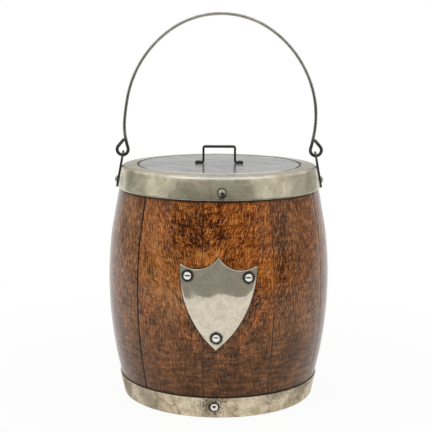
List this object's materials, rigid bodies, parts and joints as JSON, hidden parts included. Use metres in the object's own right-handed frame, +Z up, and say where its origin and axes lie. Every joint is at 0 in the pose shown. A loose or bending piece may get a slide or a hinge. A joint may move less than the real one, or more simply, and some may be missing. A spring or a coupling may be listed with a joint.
{
  "type": "barrel ice bucket",
  "caption": "Bowed oak barrel bucket with plated collar and foot hoop, ceramic liner, drop-in lid and wire bail; keeps ice cold at the table.",
  "frame": {"origin": "centre of the barrel's axis on the floor under the foot of the base hoop", "axes": "+Z up along the barrel's axis, -Y towards the shield at the front, +X towards the right ear"},
  "size_m": [0.168, 0.1701, 0.2907],
  "materials": {
    "oak": "glossy varnish over oak with ray flecks",
    "glaze": "white glaze",
    "plated_sheet": "worn silver plate with brown tarnish",
    "lid_sheet": "worn silver plate, polished",
    "plated_fasteners": "worn silver plate",
    "wire": "dull plated wire",
    "dark_strip": "dark tarnished strip"
  },
  "bodies": {
    "barrel": {"stave_1": "oak", "stave_2": "oak", "stave_3": "oak", "stave_4": "oak", "stave_5": "oak", "stave_6": "oak", "stave_7": "oak", "stave_8": "oak", "stave_9": "oak", "stave_10": "oak", "bottom_head": "oak", "liner": "glaze", "base_hoop": "plated_sheet", "hoop_pins": "plated_fasteners", "collar": "plated_sheet", "collar_screws": "plated_fasteners", "left_ear": "wire", "right_ear": "wire", "ear_screws": "plated_fasteners", "shield": "plated_sheet", "shield_pins": "plated_fasteners"},
    "lid": {"lid_plate": "lid_sheet", "lid_ring": "plated_sheet", "lid_handle": "dark_strip", "handle_rivets": "dark_strip"},
    "bail": {"bail": "wire"}
  },
  "joints": [
    {"name": "lid_lift", "type": "slide", "parent": "barrel", "child": "lid", "axis": [0, 0, 1], "range_m": [0, 0.06]},
    {"name": "bail_swing", "type": "hinge", "parent": "barrel", "child": "bail", "pos_m": [0, 0, 0.1829], "axis": [1, 0, 0], "range_deg": [-105, 105]}
  ]
}
